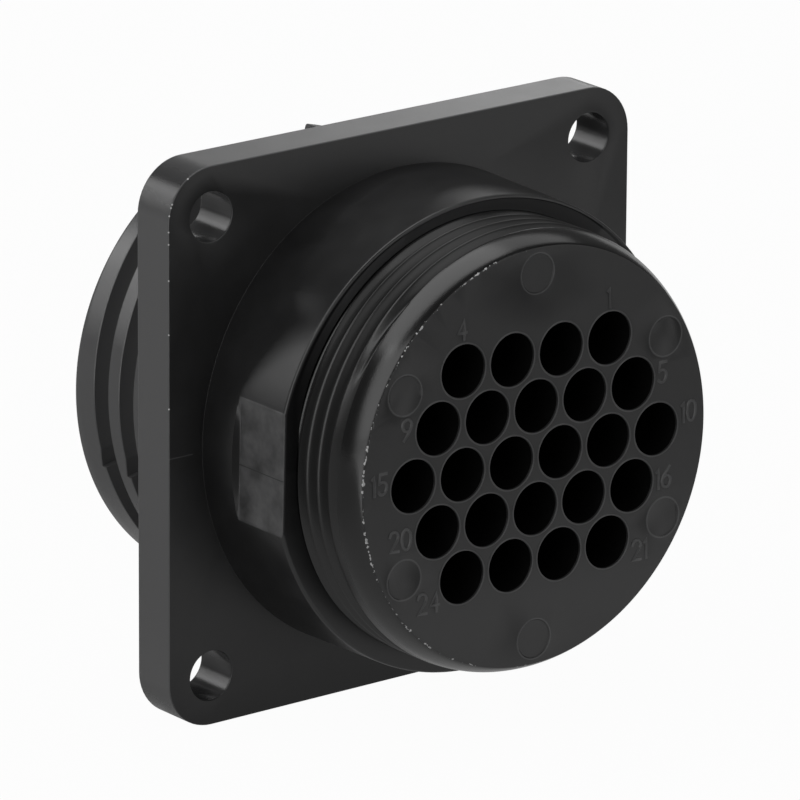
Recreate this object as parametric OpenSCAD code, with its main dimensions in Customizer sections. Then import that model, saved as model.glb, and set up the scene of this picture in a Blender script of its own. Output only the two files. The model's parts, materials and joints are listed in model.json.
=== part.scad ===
// Circular panel mount connector, moulded in one piece.
// The connector's axis lies along Y and +Z is up. The origin is on that axis, in the plane of the
// flange face that seats on the panel. The wire end points to -Y and the mating end to +Y.
// Angles about the axis start at +X and turn towards +Z. Sizes are in millimetres.

/* [Flange] */
// Width and height of the square flange
flange_w = 44.45; // [43:0.05:52]
// Thickness of the flange
flange_t = 4; // [2:0.1:8]
// Corner radius of the flange
flange_corner_r = 4; // [1:0.05:6]
// Distance from the flange's edge to the middle of a screw hole
screw_edge = 3.975; // [3:0.025:6]
// Diameter of the screw holes
screw_hole_d = 3.96; // [2:0.02:4.6]

/* [Neck] */
// Length of the neck, from the flange to its rim
neck_len = 9.6; // [7:0.1:14]
// Height of the neck's rim above the crest of the clamp thread
shoulder_h = 1.32; // [0.8:0.02:2]
// How much the neck narrows towards its rim, for release from the mould
neck_draft = 0.32; // [0:0.02:0.6]
// Chamfer round the neck's rim
neck_rim_chamfer = 0.35; // [0.1:0.05:0.8]
// How far the face of each side pad lies inside the neck's rim
pad_inset = 0.08; // [0:0.01:0.3]
// Width of a side pad
pad_w = 9.5; // [6:0.1:12]
// Height of a side pad's middle above the axis
pad_z = 0.35; // [-1:0.05:1]
// Length of a side pad, from the neck's rim
pad_len = 5.4; // [3:0.1:6.5]

/* [Clamp end] */
// Length of the threaded clamp end, from the neck's rim to the rear face
clamp_len = 6.9; // [5:0.1:12]
// Outer radius of the clamp thread
clamp_thread_r = 17.46; // [17.2:0.02:18]
// Axial distance between turns of the clamp thread
clamp_pitch = 1.41; // [1.2:0.01:1.8]
// Depth of the clamp thread
clamp_depth = 0.8; // [0.4:0.02:0.9]
// Width of the clamp thread's flat crest
clamp_crest_w = 0.22; // [0.1:0.02:0.4]
// Length of the plain end beyond the clamp thread
plain_end_len = 3; // [2.8:0.1:4]
// Radius of the rounding along the plain end
end_round_r = 3.7; // [2:0.1:5]
// How far the rounding brings in the edge of the rear face
end_round_drop = 0.81; // [0.3:0.01:1]

/* [Mating skirt] */
// Length of the skirt, from the flange's back to its end
skirt_len = 13.63; // [12:0.05:20]
// Outer radius of the skirt, over its coupling thread
skirt_r = 18.27; // [17.8:0.05:19]
// Wall of the skirt, under the coupling thread
skirt_wall = 1.5; // [1:0.05:2]
// Depth of the coupling thread
coupling_depth = 1.3; // [0.6:0.05:1.6]
// Axial distance between neighbouring grooves of the coupling thread
coupling_pitch = 3.24; // [2.8:0.02:3.8]
// Number of starts of the coupling thread
coupling_starts = 2; // [2:1:3]
// Width of a coupling groove at the outside
groove_w = 1.87; // [1.5:0.01:2.2]
// Width of a coupling groove at its floor
groove_floor_w = 1.3; // [0.8:0.05:1.8]
// Width of the skirt's end rim where a coupling groove leaves its entry
entry_rim_w = 1.33; // [0.8:0.01:2]
// Angle at which the first coupling groove leaves its entry
entry_a = 112; // [0:1:120]
// Angle that an entry covers
entry_span = 35; // [15:1:50]
// How far a coupling groove turns, from its entry
groove_turn = 295; // [200:5:360]
// Angle from a groove's entry to its first lock notch
lock_travel = 85; // [40:1:100]
// Angle that a lock notch covers
lock_span = 5; // [2:0.5:10]
// Depth of a lock notch along the axis
lock_depth = 0.45; // [0.2:0.05:0.7]
// Depth of the open socket inside the skirt
socket_depth = 10.8; // [6:0.1:12]

/* [Contact holes] */
// Distance between the centres of neighbouring contact holes
contact_pitch = 4.7; // [4.6:0.02:4.8]
// Diameter of a contact hole at the rear
contact_rear_d = 4.15; // [3:0.05:4.4]
// Diameter of a contact hole at its throat
contact_throat_d = 2.7; // [2:0.05:2.9]
// Diameter of a contact hole at the socket
contact_front_d = 3.2; // [2.9:0.05:4.2]
// Depth of the wide rear part of a contact hole
contact_rear_depth = 13; // [6:0.1:15]
// Depth of the front part of a contact hole, from the socket's floor
contact_front_depth = 4; // [1:0.1:6]

/* [Hidden] */
$fn = 96;
// How far a cutter runs past the face it opens
over = 1;
// How far a thread's ridge reaches into the solid that carries it
sink = 0.1;
// Sides of one turn of a thread
turn_steps = 40;
// How far the clamp thread's crest lies below the plain end
crest_drop = 0.06;
// Gap between neighbouring turns at the foot of the clamp thread
clamp_root_w = 0.12;
// Angle of the clamp thread's first turn, inside the neck
clamp_start_a = 80;
// How far an entry is cut below the floor of its groove
entry_floor_drop = 0.1;
// Height of a lock notch's floor above the groove's floor
lock_floor_h = 0.2;
// Lock notches in a groove, half a turn apart
lock_count = 2;
// Contact holes in each row, from the top row down
row_counts = [4, 5, 6, 5, 4];
rear_y = -neck_len - clamp_len;
screw_spacing = flange_w - 2 * screw_edge;
neck_rim_r = clamp_thread_r + shoulder_h;
neck_root_r = neck_rim_r + neck_draft;
pad_face_x = neck_rim_r - pad_inset;
clamp_root_r = clamp_thread_r - clamp_depth;
plain_end_y = rear_y + plain_end_len;
end_round_len = sqrt(pow(end_round_r, 2) - pow(end_round_r - end_round_drop, 2));
mate_y = flange_t + skirt_len;
coupling_lead = coupling_pitch * coupling_starts;
coupling_root_r = skirt_r - coupling_depth;
start_angle = 360 / coupling_starts;
groove_entry_y = mate_y - entry_rim_w - groove_w / 2;
socket_r = coupling_root_r - skirt_wall;
socket_floor_y = mate_y - socket_depth;
row_pitch = contact_pitch * sin(60);

// Turns a shape that was drawn along +Z so that it lies along +Y
module along_axis() {
    rotate([-90, 0, 0]) children();
}

// Turns a shape on the connector's axis from +X to angle a
module at_angle(a) {
    rotate([0, -a, 0]) children();
}

// Sweeps an outline of radius and distance along the axis, over the angles from a to a + span
module sector(a, span) {
    at_angle(a + span) along_axis() rotate_extrude(angle = span) children();
}

// Outline of a square with round corners
module round_square(w, r) {
    square([w, w - 2 * r], center = true);
    square([w - 2 * r, w], center = true);
    for (x = [-1, 1], y = [-1, 1]) {
        translate([x * (w / 2 - r), y * (w / 2 - r)]) circle(r);
    }
}

// One corner of a thread's section at angle a, on radius r and at distance y along the axis
function turn_point(a, r, y) = [r * cos(a), y, r * sin(a)];

// A thread's ridge or groove: a four-cornered section swept round the axis from angle a0.
// Its middle starts at y0 and moves towards the rear by lead for each turn.
module thread_sweep(a0, turn, y0, lead, r_in, r_out, w_in, w_out) {
    steps = ceil(turn / 360 * turn_steps);
    section = [[r_in, -w_in / 2], [r_out, -w_out / 2], [r_out, w_out / 2], [r_in, w_in / 2]];
    points = [
        for (i = [0:steps], corner = section)
            let (a = turn * i / steps)
            turn_point(a0 + a, corner[0], y0 - lead * a / 360 + corner[1])
    ];
    sides = [
        for (i = [0:steps - 1], k = [0:3])
            let (a = 4 * i + k, b = 4 * i + (k + 1) % 4)
            each [[b + 4, b, a], [a + 4, b + 4, a]]
    ];
    last = 4 * steps;
    caps = [[1, 2, 3], [0, 1, 3], [last + 2, last + 1, last], [last + 3, last + 2, last]];
    polyhedron(points, concat(sides, caps));
}

// The flat square flange, with its screw holes
module flange() {
    along_axis() linear_extrude(flange_t) difference() {
        round_square(flange_w, flange_corner_r);
        for (x = [-1, 1], y = [-1, 1]) {
            translate([x, y] * screw_spacing / 2) circle(d = screw_hole_d);
        }
    }
}

// The drafted neck behind the flange, with a chamfered rim
module neck() {
    along_axis() rotate_extrude() polygon([
        [0, -neck_len],
        [neck_rim_r - neck_rim_chamfer, -neck_len],
        [neck_rim_r, -neck_len + neck_rim_chamfer],
        [neck_root_r, 0],
        [neck_root_r, flange_t],
        [0, flange_t]
    ]);
}

// Square bar through the neck whose ends are the two side pads
module pad_bar() {
    translate([-pad_face_x, -neck_len, pad_z - pad_w / 2]) {
        cube([2 * pad_face_x, pad_len, pad_w]);
    }
}

// What stands out past the two side pads and is cut away
module pad_cut() {
    for (side = [-1, 1]) {
        translate([side * (pad_face_x + flange_w / 2), -neck_len + pad_len / 2 - over / 2, pad_z]) {
            cube([flange_w, pad_len + over, pad_w], center = true);
        }
    }
}

// The clamp end, with the rounding of its plain part
module clamp_end() {
    along_axis() rotate_extrude() {
        translate([0, rear_y]) square([clamp_root_r, clamp_len]);
        intersection() {
            translate([0, rear_y]) square([clamp_thread_r, plain_end_len]);
            union() {
                translate([0, rear_y]) square([clamp_thread_r - end_round_r, clamp_len]);
                translate([0, rear_y + end_round_len]) square([clamp_thread_r, clamp_len]);
                translate([clamp_thread_r - end_round_r, rear_y + end_round_len]) circle(end_round_r);
            }
        }
    }
}

// The ridge of the clamp thread, from inside the neck's rim into the plain end
module clamp_thread() {
    foot_w = clamp_pitch - clamp_root_w;
    start_y = -neck_len + foot_w / 2;
    run = start_y - plain_end_y + foot_w / 2;
    thread_sweep(clamp_start_a, run / clamp_pitch * 360, start_y, clamp_pitch,
        clamp_root_r - sink, clamp_thread_r - crest_drop, foot_w, clamp_crest_w);
}

// Grooves of the coupling thread, each with an entry through the skirt's end rim
module coupling_grooves() {
    reach = skirt_r + over;
    mouth_w = groove_floor_w + (groove_w - groove_floor_w) * (reach - coupling_root_r) / coupling_depth;
    lead_in = entry_span / 2;
    for (i = [0:coupling_starts - 1]) {
        leave_a = entry_a + start_angle * i;
        thread_sweep(leave_a - lead_in, groove_turn + lead_in, groove_entry_y + coupling_lead * lead_in / 360,
            coupling_lead, coupling_root_r, reach, groove_floor_w, mouth_w);
        sector(leave_a - entry_span, entry_span) {
            translate([coupling_root_r - entry_floor_drop, groove_entry_y]) {
                square([coupling_depth + over, mate_y]);
            }
        }
    }
}

// Lock notches of the coupling thread, cut into each groove's flank on the mating side
module lock_notches() {
    for (i = [0:coupling_starts - 1], k = [0:lock_count - 1]) {
        travel = lock_travel + 360 / lock_count * k;
        y = groove_entry_y - coupling_lead * travel / 360;
        sector(entry_a + start_angle * i + travel - lock_span / 2, lock_span) {
            translate([coupling_root_r + lock_floor_h, y]) {
                square([coupling_depth + over, groove_w / 2 + lock_depth]);
            }
        }
    }
}

// The open socket inside the skirt
module socket_cut() {
    translate([0, socket_floor_y, 0]) along_axis() cylinder(h = socket_depth + over, r = socket_r);
}

// One contact hole along the axis: wide rear part, narrow throat and front part
module contact_hole() {
    along_axis() {
        translate([0, 0, rear_y - over]) cylinder(h = contact_rear_depth + over, d = contact_rear_d);
        translate([0, 0, rear_y]) cylinder(h = socket_floor_y - rear_y + over, d = contact_throat_d);
        translate([0, 0, socket_floor_y - contact_front_depth]) {
            cylinder(h = contact_front_depth + over, d = contact_front_d);
        }
    }
}

// All contact holes, in close-packed rows
module contact_holes() {
    rows = len(row_counts);
    for (row = [0:rows - 1], i = [0:row_counts[row] - 1]) {
        x = (i - (row_counts[row] - 1) / 2) * contact_pitch;
        z = ((rows - 1) / 2 - row) * row_pitch;
        translate([x, 0, z]) contact_hole();
    }
}

// The whole housing, one moulding
module housing() {
    color("#1d1d1f") difference() {
        union() {
            flange();
            difference() {
                union() {
                    neck();
                    pad_bar();
                }
                pad_cut();
            }
            clamp_end();
            clamp_thread();
            difference() {
                along_axis() cylinder(h = mate_y, r = skirt_r);
                coupling_grooves();
                lock_notches();
            }
        }
        socket_cut();
        contact_holes();
    }
}

housing();
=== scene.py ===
import json
import math

import bmesh
import bpy
from mathutils import Matrix, Vector, noise
from mathutils.geometry import delaunay_2d_cdt


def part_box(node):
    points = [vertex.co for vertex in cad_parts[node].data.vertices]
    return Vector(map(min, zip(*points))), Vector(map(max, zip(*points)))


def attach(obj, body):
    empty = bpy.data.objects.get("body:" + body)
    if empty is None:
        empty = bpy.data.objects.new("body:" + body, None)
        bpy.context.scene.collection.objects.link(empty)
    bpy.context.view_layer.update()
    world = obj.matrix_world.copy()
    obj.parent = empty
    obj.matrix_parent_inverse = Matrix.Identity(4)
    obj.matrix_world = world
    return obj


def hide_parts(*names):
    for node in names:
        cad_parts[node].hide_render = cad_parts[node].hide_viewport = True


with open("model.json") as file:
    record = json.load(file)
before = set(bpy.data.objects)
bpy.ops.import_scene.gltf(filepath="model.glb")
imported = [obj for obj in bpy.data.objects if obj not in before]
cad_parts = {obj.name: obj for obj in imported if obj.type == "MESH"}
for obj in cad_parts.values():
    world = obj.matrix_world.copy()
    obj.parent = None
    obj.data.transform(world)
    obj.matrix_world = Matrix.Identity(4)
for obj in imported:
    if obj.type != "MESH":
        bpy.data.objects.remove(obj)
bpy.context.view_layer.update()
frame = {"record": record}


# Housing
# The whole connector is one injection moulding of black nylon, shot in a steel mould that opens along
# the axis. Sizes are in millimetres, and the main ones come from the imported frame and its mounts.
mounts = {mount["name"]: mount["dims"] for mount in frame["record"]["mounts"]}
mm = 0.001
box_low, box_high = (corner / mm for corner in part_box("housing"))


# Neck: the round body that stands through the panel's cut-out, moulded in one with the flange. It is
# drafted, and the mould's slides left a flat pad on each side.
neck_rim_y = -9.6
neck_rim_r, neck_root_r = 18.78, 19.1
neck_side_swell = 0.48
neck_rim_round, neck_fillet, neck_round_steps = 0.25, 0.02, 6
neck_rows, foot_rows = [-8.5, -7, -5.5], [-3, -2.5, -2, -1.5, -1, -0.6]
pad_x, pad_middle, pad_half_turn = 18.65, 1.07, 14.2
pad_edge_r = pad_x / math.cos(math.radians(pad_half_turn))
pad_end_y, pad_run_out, scoop_bend, scoop_steps = -4.2, 0.28, 1.2, 8
swell_turns, swell_y = (pad_half_turn, 26), -3


def between(value, low, high):
    return max(low, min(high, value))


def ease(value, low, high):
    share = between((value - low) / (high - low), 0, 1)
    return share * share * (3 - 2 * share)


def neck_radius(angle, y):
    """Only the top and bottom are drafted. Each pad is a flat cut that runs out in a short scoop."""
    turn = math.radians(angle)
    off_pad = abs(math.degrees(math.atan2(math.sin(turn), abs(math.cos(turn)))) - pad_middle)
    rim_r = neck_rim_r + neck_side_swell * math.cos(math.radians(off_pad)) ** 2
    cone = neck_root_r + (rim_r - neck_root_r) * y / neck_rim_y
    body = cone + (pad_edge_r - cone) * (1 - ease(off_pad, *swell_turns)) * ease(y, 0, swell_y)
    if off_pad >= pad_half_turn:
        return body
    flat = pad_x / math.cos(math.radians(off_pad))
    scoop = between((y - pad_end_y) / pad_run_out, 0, 1) ** scoop_bend
    return flat + (body - flat) * scoop


# Clamp end: a fine right-hand thread for a cable clamp, moulded into a polished and rounded lead-in. Its
# last groove runs out on the upper left, and the shoulder beside it is shallowly dished.
rear_y = box_low.y
clamp_r = mounts["clamp_thread"]["r_mm"]
clamp_pitch, clamp_depth = 1.37, 0.8
clamp_crest_y, clamp_crest_angle = -10.8, 180
clamp_run_out = (112, 158)
clamp_steps, clamp_turns, clamp_last_turn = 20, range(-3, 6), 3
clamp_sharp = 0.85
dish_y, dish_end, dish_start = -9.0, (150, 178), (325, 350)
lead_end_y, lead_step, lead_edge, edge_lift = -15.1, 0.05, 0.08, 0.02
flash_h, flash_start, flash_end = 0.09, (95, 120), (190, 215)
flash_coarse, flash_fine, flash_fine_share = 0.7, 2.3, 0.6
lead_slopes = [
    (-16.45, 50), (-16.35, 38), (-16.2, 32), (-16, 28), (-15.75, 25), (-15.4, 22), (-15, 17), (-14.3, 7),
    (-13.4, 1),
]


def follow(outline, value):
    """Reads a height off an outline of (place, height) corners, straight between them."""
    if value <= outline[0][0]:
        return outline[0][1]
    for (a, low), (b, high) in zip(outline, outline[1:]):
        if value <= b:
            return low + (high - low) * (value - a) / (b - a)
    return outline[-1][1]


lead_in = [(lead_slopes[-1][0], clamp_r)]
while lead_in[0][0] > lead_slopes[0][0] + lead_step / 2:
    y, r = lead_in[0]
    slope = follow(lead_slopes, y - lead_step / 2)
    lead_in.insert(0, (y - lead_step, r - lead_step * math.tan(math.radians(slope))))
face_r = lead_in[0][1] + edge_lift


def clamp_crest(angle, turn):
    return clamp_crest_y - clamp_pitch * ((angle - clamp_crest_angle) / 360 + turn)


def clamp_radius(angle, y):
    """The thread is cut into the rounded lead-in, and its last groove gets shallower until it runs out."""
    blank = follow(lead_in, y)
    past = clamp_crest(angle, clamp_last_turn) - y
    if past > 0:
        return blank
    depth = clamp_depth
    if past > -clamp_pitch:
        depth *= 1 - ease(angle, *clamp_run_out)
    wave = math.asin(clamp_sharp * math.cos(2 * math.pi * past / clamp_pitch)) / math.asin(clamp_sharp)
    return min(blank, clamp_r - depth * (1 - wave) / 2)


def shoulder_y(angle):
    """The shoulder inside the neck's rim is dished round the top and right, and flat elsewhere."""
    return dish_y + (neck_rim_y - dish_y) * ease(angle, *dish_end) * (1 - ease(angle, *dish_start))


def quarter_turn(steps):
    """Even angles from nothing to a right angle."""
    return [math.pi / 2 * i / steps for i in range(steps + 1)]


def edge_flash(angle):
    """Height of the ragged flash that the mould left along the upper left edge of the rear face."""
    coarse = noise.noise(Vector((angle * flash_coarse, 0, 0)))
    ragged = coarse + flash_fine_share * noise.noise(Vector((angle * flash_fine, 5, 0)))
    share = ease(angle, *flash_start) * (1 - ease(angle, *flash_end))
    return flash_h * share * max(0, ragged)


def clamp_end_outline(angle):
    """From the rear face's edge over the lead-in, the thread, the shoulder and the neck to the flange."""
    lead = [(r, y) for y, r in lead_in if y < lead_end_y + lead_step / 2]
    flash = edge_flash(angle % 360)
    edge = [(face_r - lead_edge, rear_y - flash)]
    for share in (0.33, 0.67):
        near, far = (1 - share) ** 2, share ** 2
        middle = 1 - near - far
        edge.append((
            near * edge[0][0] + middle * face_r + far * lead[0][0],
            near * edge[0][1] + middle * (rear_y - flash / 2) + far * lead[0][1],
        ))
    low, high = lead[-1][1], shoulder_y(angle)
    drops = [clamp_pitch * i / clamp_steps for i in range(clamp_steps)]
    rows = [clamp_crest(angle, turn) - drop for turn in clamp_turns for drop in drops]
    rows = sorted(between(y, low, high) for y in rows + [low, high])
    rim_r = neck_radius(angle, neck_rim_y + neck_rim_round)
    turns = quarter_turn(neck_round_steps)
    rim = [
        (rim_r - neck_rim_round * (1 - math.sin(t)), neck_rim_y + neck_rim_round * (1 - math.cos(t)))
        for t in turns
    ]
    beside = 0.06
    neck_stops = [neck_rim_y + neck_rim_round + beside] + neck_rows + [pad_end_y - beside]
    neck_stops += [pad_end_y + pad_run_out * i / scoop_steps for i in range(scoop_steps + 1)]
    neck_stops += [pad_end_y + pad_run_out + beside] + foot_rows + [-neck_fillet - beside]
    neck = [(neck_radius(angle, y), y) for y in neck_stops]
    root_r = neck_radius(angle, -neck_fillet)
    fillet = [
        (root_r + neck_fillet * (1 - math.cos(t)), -neck_fillet * (1 - math.sin(t))) for t in turns
    ]
    return edge + lead[:-1] + [(clamp_radius(angle, y), y) for y in rows] + rim + neck + fillet


# Mating skirt: a coarse two-start right-hand thread for the plug's coupling ring, each groove with an entry
# through the end rim and small lock notches, round a plain open socket.
flange_back = 4.0
mate_y = box_high.y
skirt_r = mounts["coupling_thread"]["r_mm"]
skirt_end_round, skirt_fillet, skirt_round_steps = 0.25, 0.3, 4
socket_r, socket_floor_y, socket_chamfer = 15.47, 6.83, 0.3
groove_pitch, groove_depth = 3.24, 1.3
groove_y, groove_angle = 14.14, 180
groove_half_w = 0.935
groove_side = [(-0.29, -groove_depth), (-0.24, -1.2), (-0.03, -0.05), (0.03, 0)]
groove_slots = range(-3, 5)
entry_angle, entry_span, groove_turn, groove_fade = 112, 35, 295, 10
lock_travels, lock_rise, lock_depth = (85.7, 265.7), 5, 0.45
groove_starts = 2


def groove_middle(angle, slot):
    return groove_y - groove_pitch * ((angle - groove_angle) / 360 * groove_starts + slot)


def groove_travel(angle, slot):
    return angle + 360 / groove_starts * slot - entry_angle


def groove_edges(angle, slot):
    """How far a groove's two top edges lie from its middle, towards the flange and towards the end."""
    travel = groove_travel(angle, slot)
    if travel < 0:
        return groove_half_w, mate_y
    notch = 0
    for place in lock_travels:
        if place - lock_rise <= travel <= place:
            notch = lock_depth * (travel - place + lock_rise) / lock_rise
    return groove_half_w, groove_half_w + notch


def skirt_radius(angle, y):
    height = 0
    for slot in groove_slots:
        travel = groove_travel(angle, slot)
        if not -entry_span <= travel <= groove_turn:
            continue
        back, front = groove_edges(angle, slot)
        offset = y - groove_middle(angle, slot)
        past = -back - offset if offset < 0 else offset - front
        fade = 1 - ease(travel, groove_turn - groove_fade, groove_turn)
        height = min(height, fade * follow(groove_side, past))
    return skirt_r + height


def skirt_rows(angle, low, high):
    """Places along the axis where the skirt's outline turns, in order."""
    rows = [low, high]
    for slot in groove_slots:
        back, front = groove_edges(angle, slot)
        middle = groove_middle(angle, slot)
        rows += [middle - back - past for past, _ in groove_side]
        rows += [middle + front + past for past, _ in groove_side]
    return sorted(between(y, low, high) for y in rows)


def skirt_outline(angle):
    """From the flange over the coupling thread and the end rim to the socket's floor."""
    low, high = flange_back + skirt_fillet, mate_y - skirt_end_round
    turns = quarter_turn(skirt_round_steps)
    fillet = [
        (skirt_r + skirt_fillet * (1 - math.sin(t)), flange_back + skirt_fillet * (1 - math.cos(t)))
        for t in turns
    ]
    rows = [(skirt_radius(angle, y), y) for y in skirt_rows(angle, low, high)]
    end_r = rows[-1][0]
    end = [
        (end_r - skirt_end_round * (1 - math.cos(t)), high + skirt_end_round * math.sin(t)) for t in turns
    ]
    mouth = [(socket_r + socket_chamfer, mate_y), (socket_r, mate_y - socket_chamfer)]
    return fillet + rows + end + mouth + [(socket_r, socket_floor_y)]


# Skin: the moulding's surface, made patch by patch. Its columns stand at even angles about the axis, with
# close ones at each step of the pads and of the coupling thread.
skin_columns = 240
pad_step, thread_step, clear_turn = 0.25, 0.04, 0.4


class Skin:
    """One closed surface made patch by patch. Points that fall together are welded."""

    cells_per_mm = 5000
    cell_shift = 0.137
    same_spot = 1e-7

    def __init__(self):
        self.points = {}
        self.faces = []

    def weld(self, point):
        key = tuple(round(c * self.cells_per_mm + self.cell_shift) for c in point)
        return self.points.setdefault(key, (len(self.points), point))[0]

    def face(self, corners):
        ids = []
        for corner in corners:
            i = self.weld(corner)
            if i not in ids:
                ids.append(i)
        if len(ids) > 2:
            self.faces.append(ids)

    def wall(self, rows):
        """Joins each row of points to the next with four-sided faces."""
        for near, far in zip(rows, rows[1:]):
            for i in range(len(near) - 1):
                self.face((near[i], near[i + 1], far[i + 1], far[i]))

    def plate(self, loops, holes, height):
        """Fills the outline of the loops, flat across the axis, and leaves out the holes.

        Each loop is a closed ring of (x, z) points, and a hole is a convex one.
        height gives the distance along the axis at (x, z).
        """
        spots, edges, owner = [], [], []
        for number, loop in enumerate(loops + holes):
            first = len(spots)
            spots += loop
            owner += [number] * len(loop)
            edges += [(first + i, first + (i + 1) % len(loop)) for i in range(len(loop))]
        flat = [Vector(spot) for spot in spots]
        found, _, triangles, origins, _, _ = delaunay_2d_cdt(flat, edges, [], 0, self.same_spot)
        owners = [{owner[i] for i in origin} for origin in origins]
        exact = [spots[origin[0]] if origin else tuple(spot) for origin, spot in zip(origins, found)]
        points = [(x, height(x, z), z) for x, z in exact]
        for triangle in triangles:
            shared = set.intersection(*(owners[i] for i in triangle))
            if not any(number >= len(loops) for number in shared):
                self.face([points[i] for i in triangle])

    def build(self, name):
        mesh = bpy.data.meshes.new(name)
        points = [Vector(point) * mm for _, point in self.points.values()]
        mesh.from_pydata(points, [], self.faces)
        shell = bmesh.new()
        shell.from_mesh(mesh)
        bmesh.ops.recalc_face_normals(shell, faces=shell.faces)
        shell.to_mesh(mesh)
        shell.free()
        piece = bpy.data.objects.new(name, mesh)
        bpy.context.scene.collection.objects.link(piece)
        return piece


def at(angle, radius, y):
    """A point on the housing, by its angle about the axis from +X towards +Z, in degrees."""
    turn = math.radians(angle)
    return radius * math.cos(turn), y, radius * math.sin(turn)


step_angles = []
for turn in (pad_middle - pad_half_turn, pad_middle + pad_half_turn):
    for beside in (-pad_step, 0, pad_step):
        step_angles += [turn + beside, 180 - turn + beside]
for half in (0, 180):
    for step in (entry_angle, entry_angle - entry_span, entry_angle + lock_travels[0]):
        step_angles += [step + half - thread_step, step + half + thread_step]
    step_angles += [entry_angle + lock_travels[0] - lock_rise + half]
    step_angles += [entry_angle + groove_turn - share * groove_fade + half for share in (0, 0.5, 1)]
step_angles = sorted({round(angle % 360, 3) for angle in step_angles})
even_angles = [360 * i / skin_columns for i in range(skin_columns)]
angles = sorted(
    step_angles + [a for a in even_angles if all(abs(a - step) > clear_turn for step in step_angles)]
)
loop_angles = angles + [angles[0] + 360]

skin = Skin()


def revolve(outline):
    """Adds the surface whose outline at each angle is a list of (radius, y)."""
    skin.wall([[at(angle, r, y) for r, y in outline(angle)] for angle in loop_angles])


revolve(clamp_end_outline)
revolve(skirt_outline)


# Flange: the square plate that four screws hold to the panel, moulded with round corners, plain screw holes
# and slightly eased edges.
flange_w = box_high.x - box_low.x
flange_corner_r, flange_ease = 4.0, 0.12
flange_reach = flange_w / 2 - flange_corner_r
screw_place = mounts["flange_screws"]["spacing_x_mm"] / 2
screw_r = mounts["flange_screws"]["hole_r_mm"]
screw_ease = 0.1
corner_steps, screw_steps, ease_steps = 14, 48, 3


def ring(radius, count, x=0.0, z=0.0):
    """A closed ring of (x, z) spots round a centre."""
    turns = [2 * math.pi * i / count for i in range(count)]
    return [(x + radius * math.cos(turn), z + radius * math.sin(turn)) for turn in turns]


def flange_loop(inset):
    r = flange_corner_r - inset
    loop = []
    for quarter, (sx, sz) in enumerate(((1, 1), (-1, 1), (-1, -1), (1, -1))):
        for i in range(corner_steps + 1):
            turn = math.pi / 2 * (quarter + i / corner_steps)
            loop.append((sx * flange_reach + r * math.cos(turn), sz * flange_reach + r * math.sin(turn)))
    return loop


def lift(loop, y):
    """The loop's spots at one place along the axis, closed."""
    return [(x, y, z) for x, z in loop + loop[:1]]


def eased_wall(loop_at, ease_r, near, far):
    """Joins the two faces round a loop, with eased edges. loop_at takes the distance to its own wall."""
    turns = quarter_turn(ease_steps)
    into = [(ease_r * (1 - math.sin(t)), near + ease_r * (1 - math.cos(t))) for t in turns]
    out = [(inset, near + far - y) for inset, y in reversed(into)]
    beside = 0.04
    straight = [(0, near + ease_r + beside), (0, far - ease_r - beside)]
    skin.wall([lift(loop_at(inset), y) for inset, y in into + straight + out])


eased_wall(flange_loop, flange_ease, 0, flange_back)
screw_faces = []
for sx in (-1, 1):
    for sz in (-1, 1):
        def screw_loop(gap, x=sx * screw_place, z=sz * screw_place):
            return ring(screw_r + gap, screw_steps, x, z)

        eased_wall(screw_loop, screw_ease, 0, flange_back)
        screw_faces.append(screw_loop(screw_ease))


def round_loop(radius_at):
    loop = []
    for angle in angles:
        x, _, z = at(angle, radius_at(angle), 0)
        loop.append((x, z))
    return loop


neck_foot = round_loop(lambda angle: neck_radius(angle, -neck_fillet) + neck_fillet)
skirt_foot = round_loop(lambda angle: skirt_r + skirt_fillet)
skin.plate([flange_loop(flange_ease)], screw_faces + [neck_foot], lambda x, z: 0)
skin.plate([flange_loop(flange_ease)], screw_faces + [skirt_foot], lambda x, z: flange_back)


# End wall: the flat rear face. Each contact hole has a thin burr round its mouth, six ejector pins left round
# marks, and the contact positions at the ends of the rows are numbered in raised strokes.
hole_r = mounts["contact_holes"]["r_mm"]
hole_pitch = 4.7
hole_row_gap = hole_pitch * math.sin(math.radians(60))
hole_rows = (4, 5, 6, 5, 4)
hole_steps = 56
hole_depth, throat_r, front_r, front_depth = 13.0, 1.35, 1.6, 4.0
burr = [(0, 0), (0.03, 0.055), (0.1, 0.055), (0.17, 0)]
holes = []
for row, count in enumerate(hole_rows):
    for i in range(count):
        x = (i - (count - 1) / 2) * hole_pitch
        z = ((len(hole_rows) - 1) / 2 - row) * hole_row_gap
        holes.append((x, z))

pin_place, pin_first, pin_turn, pin_steps = 14.5, 30, 60, 40
pin_mark = [(1.48, -0.05), (1.57, 0.04), (1.62, 0.04), (1.72, 0)]
pins = [at(angle, pin_place, 0)[::2] for angle in range(pin_first, 360, pin_turn)]

stroke = [(0.08, 0.08), (0.15, 0), (0.28, 0)]
guard_ring, mitre_limit = 0.12, 0.5
digit_h, digit_w, thin_digit_w, digit_gap = 1.6, 0.85, 0.25, 0.32


def bow(u, v, wide, high, first, last, steps=12):
    """Spots along an arc, in shares of a digit's width and height."""
    turns = [math.radians(first + (last - first) * i / steps) for i in range(steps + 1)]
    return [(u + wide * math.cos(t), v + high * math.sin(t)) for t in turns]


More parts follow.
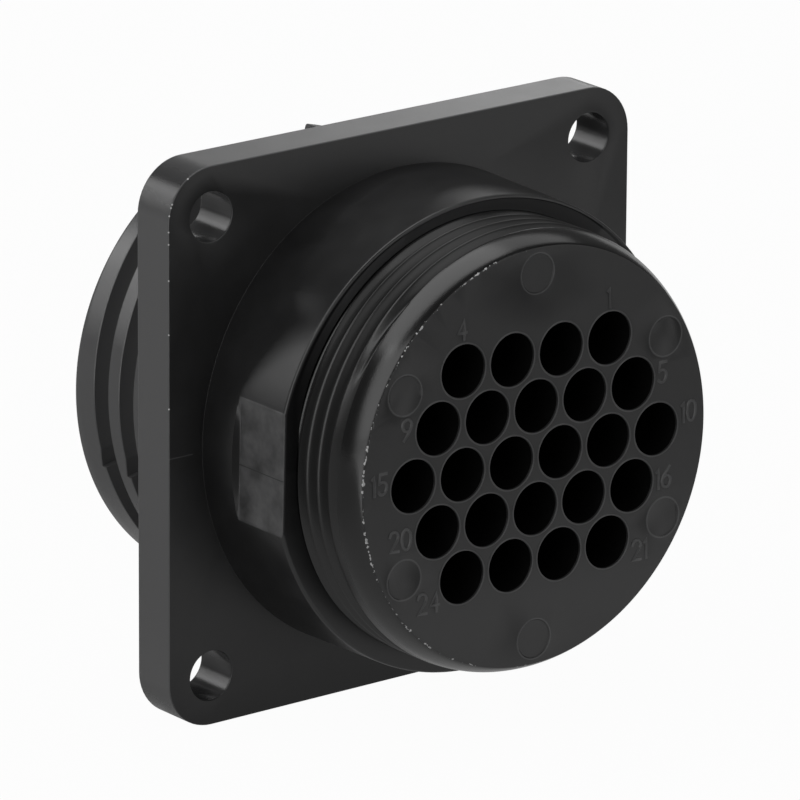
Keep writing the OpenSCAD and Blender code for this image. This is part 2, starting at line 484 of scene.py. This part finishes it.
digits = {
    "0": bow(0.5, 0.5, 0.5, 0.5, 90, 446, 22),
    "1": [(0.1, 0.84), (1, 1), (1, 0)],
    "2": bow(0.5, 0.72, 0.47, 0.28, 165, -30, 10) + [(0, 0), (1, 0)],
    "4": [(0.75, 0), (0.75, 1), (0, 0.32), (1, 0.32)],
    "5": [(0.95, 1), (0.2, 1), (0.12, 0.56)] + bow(0.48, 0.31, 0.5, 0.31, 125, -140),
    "6": [(0.85, 1), (0.22, 0.6)] + bow(0.5, 0.29, 0.5, 0.29, 150, 506, 20),
    "9": [(0.15, 0), (0.78, 0.4)] + bow(0.5, 0.71, 0.5, 0.29, -30, 326, 20),
}
numbers = {
    "1": (6.96, 11.35), "4": (-7.2, 11.42), "5": (12.28, 4.45), "9": (-12.35, 4.53),
    "10": (14.95, 0.85), "15": (-14.95, 0.71), "16": (12.55, -4.04), "20": (-12.95, -4.07),
    "21": (10.28, -9.4), "24": (-10.24, -9.53),
}
strokes = []
for number, (x, z) in numbers.items():
    widths = [thin_digit_w if digit == "1" else digit_w for digit in number]
    left = x - (sum(widths) + (len(number) - 1) * digit_gap) / 2
    for digit, width in zip(number, widths):
        strokes.append([(left + u * width, z + (v - 0.5) * digit_h) for u, v in digits[digit]])
        left += width + digit_gap


def stroke_loop(path, reach):
    """The outline at a distance from a stroke's middle line."""
    spots = [Vector(spot) for spot in path]
    sides = [(b - a).normalized().orthogonal() for a, b in zip(spots, spots[1:])]
    left, right = [], []
    for i, spot in enumerate(spots):
        before, after = sides[max(i - 1, 0)], sides[min(i, len(sides) - 1)]
        out = (before + after).normalized()
        out *= reach / max(out.dot(after), mitre_limit)
        along = Vector((out.y, -out.x)) * ((i == len(spots) - 1) - (i == 0))
        left.append(tuple(spot + out + along))
        right.append(tuple(spot - out + along))
    return left + right[::-1]


def gap_to(spot, path):
    """How far a spot lies from a stroke's middle line."""
    spot, gaps = Vector(spot), []
    for a, b in zip(path, path[1:]):
        a, b = Vector(a), Vector(b)
        share = between((spot - a).dot(b - a) / (b - a).length_squared, 0, 1)
        gaps.append((spot - a - (b - a) * share).length)
    return min(gaps)


def face_height(x, z):
    """How far the rear face stands out at a spot."""
    beside = 0.01
    if math.hypot(x, z) > face_r - lead_edge - beside:
        return rear_y - edge_flash(math.degrees(math.atan2(z, x)) % 360)
    height = 0
    for cx, cz in holes:
        gap = math.hypot(x - cx, z - cz) - hole_r
        if gap < burr[-1][0]:
            height = max(height, follow(burr, gap))
    for cx, cz in pins:
        gap = math.hypot(x - cx, z - cz)
        if gap < pin_mark[-1][0]:
            height += follow(pin_mark, gap)
    for path in strokes:
        if abs(x - path[0][0]) < digit_h and abs(z - path[0][1]) < 2 * digit_h:
            height = max(height, follow(stroke, gap_to((x, z), path)))
    return rear_y - height


rear_loops = [round_loop(lambda angle: face_r - lead_edge)]
rear_loops += [ring(face_r - lead_edge - guard_ring, skin_columns)]
rear_loops += [ring(hole_r + gap, hole_steps, *hole) for hole in holes for gap, _ in burr[1:]]
rear_loops += [ring(gap, pin_steps, *pin) for pin in pins for gap, _ in pin_mark]
rear_loops += [stroke_loop(path, reach) for path in strokes for reach, _ in stroke]
skin.plate(rear_loops, [ring(hole_r, hole_steps, *hole) for hole in holes], face_height)

floor_mouth = 0.1
for hole in holes:
    steps = [
        (hole_r, rear_y), (hole_r, rear_y + hole_depth), (throat_r, rear_y + hole_depth),
        (throat_r, socket_floor_y - front_depth), (front_r, socket_floor_y - front_depth),
        (front_r, socket_floor_y - floor_mouth), (front_r + floor_mouth, socket_floor_y),
    ]
    skin.wall([lift(ring(r, hole_steps, *hole), y) for r, y in steps])
skin.plate(
    [round_loop(lambda angle: socket_r)],
    [ring(front_r + floor_mouth, hole_steps, *hole) for hole in holes],
    lambda x, z: socket_floor_y,
)

housing = skin.build("housing_moulding")
crease, flat_normal, flat_slack = math.radians(32), 0.9999, 0.001
housing.data.shade_smooth()
for polygon in housing.data.polygons:
    reach = max(abs(polygon.center.x), abs(polygon.center.z)) / mm
    if abs(polygon.normal.y) > flat_normal or reach > flange_w / 2 - flat_slack:
        polygon.use_smooth = False
housing.data.set_sharp_from_angle(angle=crease)


class Socket:
    """A shader socket that can stand in Python expressions. Each expression adds its Math nodes."""

    def __init__(self, tree, socket=None):
        self.tree, self.socket = tree, socket

    def node(self, kind, settings={}, sockets={}, output=0):
        """Adds a node, sets it up, then gives its sockets values or links. Returns one of its outputs."""
        made = self.tree.nodes.new(kind)
        for name, value in settings.items():
            setattr(made, name, value)
        for name, value in sockets.items():
            if isinstance(value, Socket):
                self.tree.links.new(value.socket, made.inputs[name])
            else:
                made.inputs[name].default_value = value
        return Socket(self.tree, made.outputs[output]) if made.outputs else None

    def math(self, operation, *values):
        return self.node("ShaderNodeMath", {"operation": operation}, dict(enumerate(values)))

    def __add__(self, other):
        return self.math("ADD", self, other)

    def __sub__(self, other):
        return self.math("SUBTRACT", self, other)

    def __rsub__(self, other):
        return self.math("SUBTRACT", other, self)

    def __mul__(self, other):
        return self.math("MULTIPLY", self, other)

    def __pow__(self, other):
        return self.math("POWER", self, other)

    def __abs__(self):
        return self.math("ABSOLUTE", self)

    def __lt__(self, other):
        return self.math("LESS_THAN", self, other)

    def __gt__(self, other):
        return self.math("GREATER_THAN", self, other)

    __radd__ = __add__
    __rmul__ = __mul__


# Black nylon: the moulding's satin skin, glossier on the thread, the lip and the holes' walls. The flange's
# flat edges, the pads, the skirt, the screw holes' walls, the raised marks and the dished shoulder are
# painted a lighter grey, a painted sheen for light they catch, and the parting line is grey too. Handling has
# left white flecks on the flange's left edge, and the flash is white too.
nylon_black = (0.003, 0.003, 0.003, 1)
nylon_grey = (0.013, 0.013, 0.0135, 1)
# Lighter grey of the painted sheen, also used for the parting line.
sheen_and_parting_grey = (0.076, 0.076, 0.077, 1)
fleck_white = (0.45, 0.45, 0.45, 1)
fleck_r, fleck_in, fleck_y = 0.07, 0.03, 0.05
fleck_heights = (17.7, 16.74, 13.9, 9.65, 3.8)
fleck_turns = (10.6, 19.7, 23.6, 57, -76)
fleck_spots = [(-flange_w / 2 + fleck_in, fleck_y, z) for z in fleck_heights]
for angle in fleck_turns:
    turn = math.radians(180 - angle)
    fleck_spots.append((
        -flange_reach + (flange_corner_r - fleck_in) * math.cos(turn), fleck_y,
        math.copysign(flange_reach, angle) + (flange_corner_r - fleck_in) * math.sin(turn),
    ))
black_nylon = bpy.data.materials.new("black_nylon")
black_nylon.use_nodes = True
black_nylon.node_tree.nodes.clear()
shade = Socket(black_nylon.node_tree)
place = shade.node("ShaderNodeTexCoord", {}, {}, "Object")
place_mm = shade.node("ShaderNodeVectorMath", {"operation": "SCALE"}, {0: place, "Scale": 1 / mm})
x, y, z = (shade.node("ShaderNodeSeparateXYZ", {}, {0: place_mm}, axis) for axis in "XYZ")
radius = (x * x + z * z) ** 0.5


def cloudy(scale, detail):
    return shade.node("ShaderNodeTexNoise", {}, {"Vector": place_mm, "Scale": scale, "Detail": detail})


def tint(share, first, second):
    return shade.node("ShaderNodeMix", {"data_type": "RGBA"}, {0: share, 6: first, 7: second}, 2)


def run(value, first, last, start, end):
    """Runs from start to end while the value runs from first to last."""
    return value.node("ShaderNodeMapRange", {}, {"Value": value, 1: first, 2: last, 3: start, 4: end})


# Where each finish lies on the moulding.
slack = 0.02
thread_end_y, dish_in, dish_sheen_x = -14.5, 0.2, (-17.5, -12.5)
bore_start, bore_end, bore_in = 0.15, 0.05, 1
neck_end_y, pad_slack, pad_half_h, pad_tail = -0.05, 0.06, 5.2, 0.2
groove_slack, skirt_clear = 0.1, 1
edge_reach, corner_fade = 20.5, (0.2, 3.6)
parting_z, parting_half_w, parting_half_y, parting_x = -0.15, 0.04, 2.2, -20
polished = (y < dish_y) * (radius > face_r - slack) * (radius < clamp_r + slack)
thread = polished * (y > thread_end_y)
# The dished shoulder is painted lighter except at its far left, painted light that lifts the shade in the
# dish.
dished = (radius > clamp_r + slack) * (radius < neck_rim_r - dish_in)
dished = dished * (y < dish_y + slack) * (y > neck_rim_y + 2 * slack) * run(x, *dish_sheen_x, 0.0, 1.0)
bore = (y > rear_y + bore_start) * (y < socket_floor_y - bore_end) * (radius < socket_r - bore_in)
neck = (y > neck_rim_y) * (y < neck_end_y)
skirt = (y > flange_back) * (radius > skirt_r - groove_depth - groove_slack)
pad_tilt = math.radians(pad_middle)
off_pad = abs(abs(x) * math.cos(pad_tilt) + z * math.sin(pad_tilt) - pad_x)
pad = (off_pad < pad_slack) * (abs(z) < pad_half_h) * (y < pad_end_y + pad_tail) * neck
flange_wall = (y > slack) * (y < flange_back - slack)
flange_edge = flange_wall * (shade.math("MAXIMUM", abs(x), abs(z)) > edge_reach)
# The flange's flat edge faces, fading out round its corners, get a painted sheen of lighter grey.
corner_start, corner_end = (flange_reach + past for past in corner_fade)
flat_edge = flange_edge * run(shade.math("MINIMUM", abs(x), abs(z)), corner_start, corner_end, 1.0, 0.0)
screw_wall = flange_wall * (radius > skirt_r + skirt_clear) * (1 - flange_edge)
raised = y < rear_y - slack
parting = (abs(z - parting_z) < parting_half_w) * (x < 0)
parting = parting * (pad + (abs(y - flange_back / 2) < parting_half_y) * (x < parting_x))

grain, cloud, blotch = cloudy(9.0, 3.0), cloudy(0.35, 3.0), cloudy(0.55, 4.0)
dust, patch = cloudy(3.4, 4.0), cloudy(0.5, 1.0)
# Painted sheen: lighter grey on the pads (blotchy), the flange's flat edges, the skirt, the screw holes'
# walls, the raised marks and the dished shoulder. The parting line's grey is the mould's own mark.
sheen_and_parting = pad * (2.4 * blotch - 0.67) * (1 - parting) + parting * (1 - pad) * 0.6
sheen_and_parting = sheen_and_parting + flat_edge + skirt * 0.85 + screw_wall * 0.5 + raised * 0.6 + dished * 0.8
flash_in, flash_w, flash_deep, flash_x = 0.04, 0.8, 0.1, 1
ragged = dust + 0.35 * patch - 0.006 * x - 0.8
flecks = (abs(radius - face_r + flash_in) < flash_w * ragged) * (y < rear_y + flash_deep) * (x < flash_x)
for spot in fleck_spots:
    gap = shade.node("ShaderNodeVectorMath", {"operation": "DISTANCE"}, {0: place_mm, 1: spot}, "Value")
    flecks = flecks + (gap < fleck_r)
base = tint(cloud * (1 - polished - bore), nylon_black, nylon_grey)
base = tint(flecks, tint(sheen_and_parting, base, sheen_and_parting_grey), fleck_white)
roughness = (
    0.38 + 0.06 * cloud - 0.22 * polished + 0.12 * thread - 0.22 * bore - 0.1 * neck * (1 - pad) + 0.12 * pad
    - 0.18 * skirt - 0.1 * flange_edge - 0.08 * (flange_edge - flat_edge) - 0.2 * screw_wall
)
nylon_ior, grain_strength, grain_depth = 1.55, 0.25, 0.02 * mm
relief = shade.node(
    "ShaderNodeBump", {}, {"Strength": grain_strength, "Distance": grain_depth, "Height": grain},
)
surface = shade.node(
    "ShaderNodeBsdfPrincipled", {},
    {"Base Color": base, "Roughness": roughness, "IOR": nylon_ior, "Normal": relief},
)
shade.node("ShaderNodeOutputMaterial", {}, {"Surface": surface})
housing.data.materials.append(black_nylon)
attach(housing, "root")
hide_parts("housing")


# Floor and backdrop: sheets of white card under and behind the connector, which stands on its flange's lower
# edge. The card looks white to the camera and still takes the connector's soft shadow. The backdrop only
# throws light back: the camera doesn't see it, so that the connector can be looked at from behind.
white_card = bpy.data.materials.new("white_card")
white_card.use_nodes = True
white_card.node_tree.nodes.clear()
card = Socket(white_card.node_tree)


def seen_white(tree, gloss):
    """How much of the white a ray sees. The nylon's gloss shows it more faintly, by the share given."""
    kinds = {"Is Camera Ray": 1.0, "Is Transmission Ray": 1.0, "Is Glossy Ray": gloss}
    return sum(tree.node("ShaderNodeLightPath", {}, {}, kind) * share for kind, share in kinds.items())


spot = card.node("ShaderNodeNewGeometry", {}, {}, "Position")
x, y = (card.node("ShaderNodeSeparateXYZ", {}, {0: spot}, axis) for axis in "XY")
# Painted light: to the nylon's gloss the card shows white towards the front and right, and grey paper
# elsewhere.
front_x, front_y, front_span, front_gloss = 0.6, 0.8, (-0.04, 0.03), 0.6
painted_front_glow = run(x * front_x - y * front_y, *front_span, 0.0, front_gloss)
card_grey, card_white = (0.4, 0.4, 0.4, 1), 0.97
paper = card.node("ShaderNodeBsdfDiffuse", {}, {"Color": card_grey})
glow = card.node("ShaderNodeEmission", {}, {"Color": (1, 1, 1, 1), "Strength": 1.0})
white_share = seen_white(card, painted_front_glow) * card_white
sheet = card.node("ShaderNodeMixShader", {}, {0: white_share, 1: paper, 2: glow})
card.node("ShaderNodeOutputMaterial", {}, {"Surface": sheet})


def card_sheet(name, corners):
    mesh = bpy.data.meshes.new(name)
    mesh.from_pydata(corners, [], [(0, 1, 2, 3)])
    mesh.materials.append(white_card)
    sheet = bpy.data.objects.new(name, mesh)
    bpy.context.scene.collection.objects.link(sheet)
    return sheet


floor_z = box_low.z * mm
floor_front, floor_back, floor_side, backdrop_h = -0.042, 0.7, 1.2, 0.35
card_sheet("floor", [
    (-floor_side, floor_front, floor_z), (floor_side, floor_front, floor_z),
    (floor_side, floor_back, floor_z), (-floor_side, floor_back, floor_z),
])
backdrop = card_sheet("backdrop", [
    (-floor_side, floor_back, floor_z), (floor_side, floor_back, floor_z),
    (floor_side, floor_back, floor_z + backdrop_h), (-floor_side, floor_back, floor_z + backdrop_h),
])
backdrop.visible_camera = False


# Studio light: soft boxes round the connector in a dim grey room. The room looks white to the camera, as the
# card does.
box_away = 0.9


def soft_box(name, azimuth, elevation, wide, tall, glow):
    """A lamp that faces the connector. Azimuth turns from +Y towards +X, and glow is its brightness."""
    lamp = bpy.data.lights.new(name, "AREA")
    lamp.shape = "RECTANGLE"
    lamp.size, lamp.size_y = wide, tall
    lamp.energy = glow * math.pi * wide * tall
    holder = bpy.data.objects.new(name, lamp)
    turn, rise = math.radians(azimuth), math.radians(elevation)
    way = Vector((math.sin(turn) * math.cos(rise), math.cos(turn) * math.cos(rise), math.sin(rise)))
    holder.location = way * box_away
    holder.rotation_euler = way.to_track_quat("Z", "Y").to_euler()
    bpy.context.scene.collection.objects.link(holder)
    return holder


soft_box("back_left_box", -33, 20, 0.38, 0.5, 2.5)
soft_box("back_right_box", 33, 14, 0.42, 0.3, 1.4)
soft_box("left_box", -110, 28, 0.7, 0.75, 1.7)
soft_box("left_low_box", -110, -14, 0.7, 0.55, 1.6)
soft_box("front_right_box", 155, 40, 0.5, 0.5, 1.0)
soft_box("front_box", -172, 29, 0.5, 0.5, 0.65)
soft_box("front_low_box", 145, -6, 0.4, 0.4, 1.0)
soft_box("right_front_box", 125, 18, 0.5, 0.5, 0.6)
for name, x, y, wide, deep, glow in (
    ("overhead_box", -0.25, 0.24, 1.3, 0.62, 1.95), ("overhead_right_box", 0.8, 0.28, 0.8, 0.5, 0.9),
):
    hung = soft_box(name, 0, 90, wide, deep, glow)
    hung.location = (x, y, box_away)
    hung.rotation_euler = (0, 0, 0)

world = bpy.data.worlds.new("studio")
bpy.context.scene.world = world
world.use_nodes = True
world.node_tree.nodes.clear()
room = Socket(world.node_tree)
room_dim, room_gloss = 0.09, 0.04
dim = room.node("ShaderNodeBackground", {}, {"Color": (1, 1, 1, 1), "Strength": room_dim})
white = room.node("ShaderNodeBackground", {}, {"Color": (1, 1, 1, 1), "Strength": 1.0})
walls = room.node("ShaderNodeMixShader", {}, {0: seen_white(room, room_gloss), 1: dim, 2: white})
room.node("ShaderNodeOutputWorld", {}, {"Surface": walls})


# Camera: a long lens that looks from the wire end's upper left. It was fitted to the flange, the screw holes
# and the contact holes in the photograph.
picture_w = 800
focal_px = 8856.71
camera_azimuth, camera_elevation, camera_roll = (math.radians(v) for v in (-37.992, 17.559, 0.3625))
camera_aim, camera_distance = Vector((-0.1458, 0, 0.3846)), 681.219
back = Vector((
    math.sin(camera_azimuth) * math.cos(camera_elevation),
    -math.cos(camera_azimuth) * math.cos(camera_elevation),
    math.sin(camera_elevation),
))
level = Vector((math.cos(camera_azimuth), math.sin(camera_azimuth), 0))
upright = back.cross(level)
right = level * math.cos(camera_roll) + upright * math.sin(camera_roll)
up = upright * math.cos(camera_roll) - level * math.sin(camera_roll)
lens = bpy.data.cameras.new("camera")
lens.sensor_width = 36
lens.lens = focal_px * lens.sensor_width / picture_w
lens.clip_start = 0.01
camera = bpy.data.objects.new("camera", lens)
camera.matrix_world = Matrix.Translation((camera_aim + back * camera_distance) * mm) @ Matrix(
    (right, up, back)
).transposed().to_4x4()
bpy.context.scene.collection.objects.link(camera)
bpy.context.scene.camera = camera
bpy.context.scene.view_settings.view_transform = "Standard"
